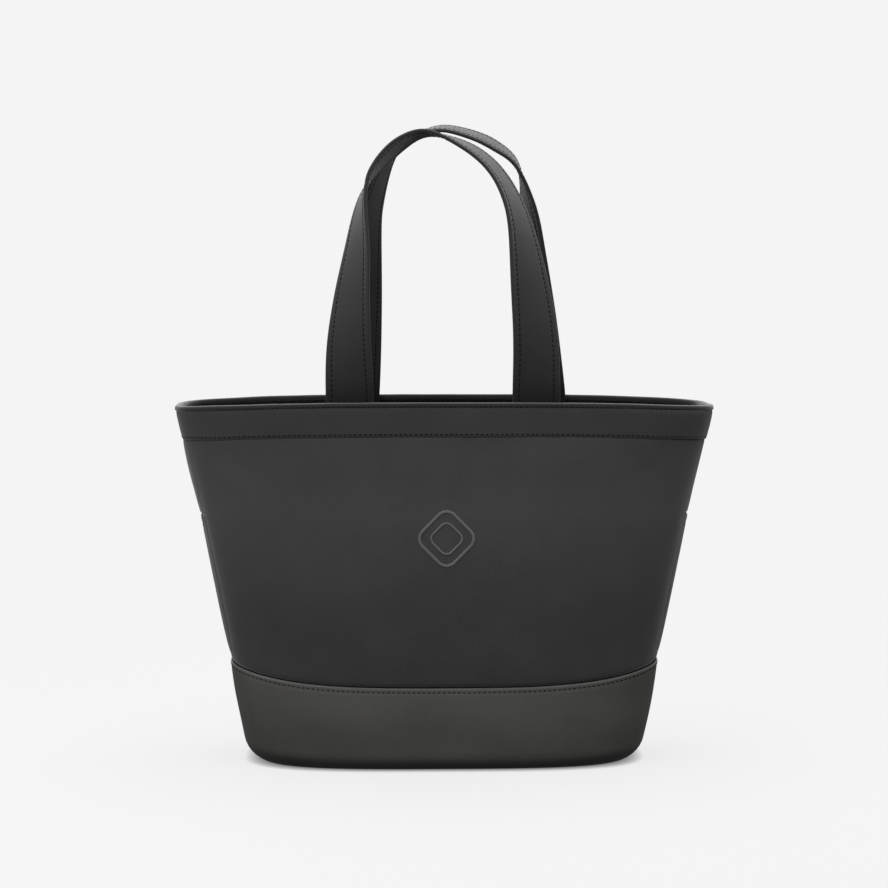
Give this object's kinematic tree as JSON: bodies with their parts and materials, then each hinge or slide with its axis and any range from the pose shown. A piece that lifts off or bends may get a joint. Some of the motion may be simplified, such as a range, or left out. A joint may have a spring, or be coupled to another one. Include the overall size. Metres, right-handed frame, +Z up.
{
  "type": "diaper bag",
  "caption": "Open-topped black tote diaper bag with padded cloth walls, a coated base wrap, a bound rim and two strap handles",
  "frame": {"origin": "Middle of the flat base, on the surface that the bag stands on", "axes": "+Z up; the front, with the emblem, faces -Y; +X is to the right of someone looking at the front"},
  "size_m": [0.4802, 0.1712, 0.5699],
  "materials": {
    "body_cloth": "matte woven",
    "coated_cloth": "matte coated",
    "strap_cloth": "matte woven",
    "lining": "plain weave",
    "foam": "open cell",
    "board": "matte",
    "hardware": "dark satin",
    "zip_plastic": "matte",
    "emblem": "satin"
  },
  "bodies": {
    "bag": {"bottom_panel": "coated_cloth", "base_wrap_front": "coated_cloth", "base_wrap_back": "coated_cloth", "base_board": "board", "front_panel": "body_cloth", "back_panel": "body_cloth", "gusset_left": "body_cloth", "gusset_right": "body_cloth", "band_front": "body_cloth", "band_back": "body_cloth", "rim_binding": "body_cloth", "side_pocket_left": "body_cloth", "side_pocket_right": "body_cloth", "pocket_elastic_left": "body_cloth", "pocket_elastic_right": "body_cloth", "badge": "emblem", "foam_front": "foam", "foam_back": "foam", "foam_left": "foam", "foam_right": "foam", "lining_front": "lining", "lining_back": "lining", "lining_left": "lining", "lining_right": "lining", "lining_floor": "lining", "facing_front": "lining", "facing_back": "lining", "slip_pocket": "lining", "slip_pocket_hem": "lining", "magnet_front": "hardware", "magnet_back": "hardware", "ring_tab_left": "lining", "ring_tab_right": "lining", "zip_pocket": "lining", "zip_tape": "lining", "zip_chain": "zip_plastic", "zip_stop_left": "hardware", "zip_stop_right": "hardware", "handle_tail_front_left": "strap_cloth", "handle_tail_front_right": "strap_cloth", "handle_tail_back_left": "strap_cloth", "handle_tail_back_right": "strap_cloth"},
    "front_strap": {"handle_front": "strap_cloth"},
    "back_strap": {"handle_back": "strap_cloth"},
    "left_ring": {"ring_left": "hardware"},
    "right_ring": {"ring_right": "hardware"},
    "slider": {"zip_slider": "hardware"},
    "pull": {"zip_pull": "hardware"}
  },
  "joints": [
    {"name": "front_handle_fold", "type": "hinge", "parent": "bag", "child": "front_strap", "pos_m": [0, -0.0785, 0.3225], "axis": [1, 0, 0], "range_deg": [0, 180]},
    {"name": "back_handle_fold", "type": "hinge", "parent": "bag", "child": "back_strap", "pos_m": [0, 0.0785, 0.3225], "axis": [-1, 0, 0], "range_deg": [0, 180]},
    {"name": "left_ring_swing", "type": "hinge", "parent": "bag", "child": "left_ring", "pos_m": [-0.2215, 0, 0.292], "axis": [0, -1, 0], "range_deg": [0, 160]},
    {"name": "right_ring_swing", "type": "hinge", "parent": "bag", "child": "right_ring", "pos_m": [0.2215, 0, 0.292], "axis": [0, 1, 0], "range_deg": [0, 160]},
    {"name": "zip_slide", "type": "slide", "parent": "bag", "child": "slider", "axis": [-1, 0, 0], "range_m": [0, 0.158]},
    {"name": "zip_pull_swing", "type": "hinge", "parent": "slider", "child": "pull", "pos_m": [0.079, 0.0658, 0.238], "axis": [-1, 0, 0], "range_deg": [0, 120]}
  ]
}
